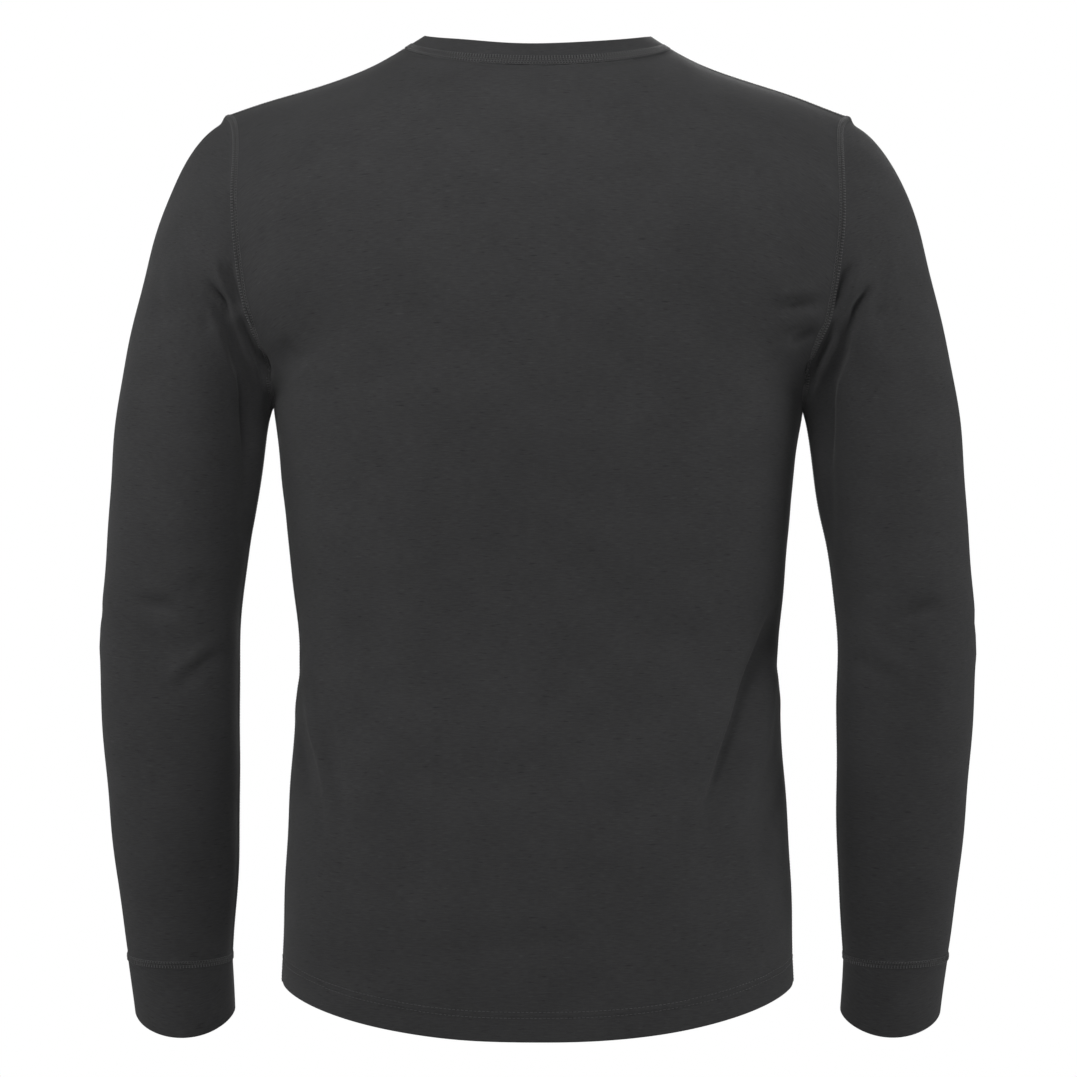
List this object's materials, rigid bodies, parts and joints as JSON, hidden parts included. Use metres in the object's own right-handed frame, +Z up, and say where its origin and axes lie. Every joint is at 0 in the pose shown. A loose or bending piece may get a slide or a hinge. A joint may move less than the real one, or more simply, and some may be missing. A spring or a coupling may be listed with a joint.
{
  "type": "long-sleeved base layer top",
  "caption": "Close-fitting crew-neck base layer top with long sleeves, folded cuffs and a drop-tail hem, kept in the hollow shape of a worn garment.",
  "frame": {"origin": "on the centre line, level with the inner ends of the two shoulder seams, where the wearer's shoulders carry the top", "axes": "+Z up, +Y the way the wearer's chest faces, so the back faces -Y, +X to the wearer's right"},
  "size_m": [0.623, 0.2357, 0.7153],
  "materials": {
    "jersey": "soft matt single jersey knit with fine heathered flecks, charcoal grey"
  },
  "bodies": {
    "root": {"back": "jersey", "front": "jersey", "sleeve_right": "jersey", "sleeve_left": "jersey", "cuff_right": "jersey", "cuff_left": "jersey", "neck_band": "jersey"}
  },
  "joints": []
}
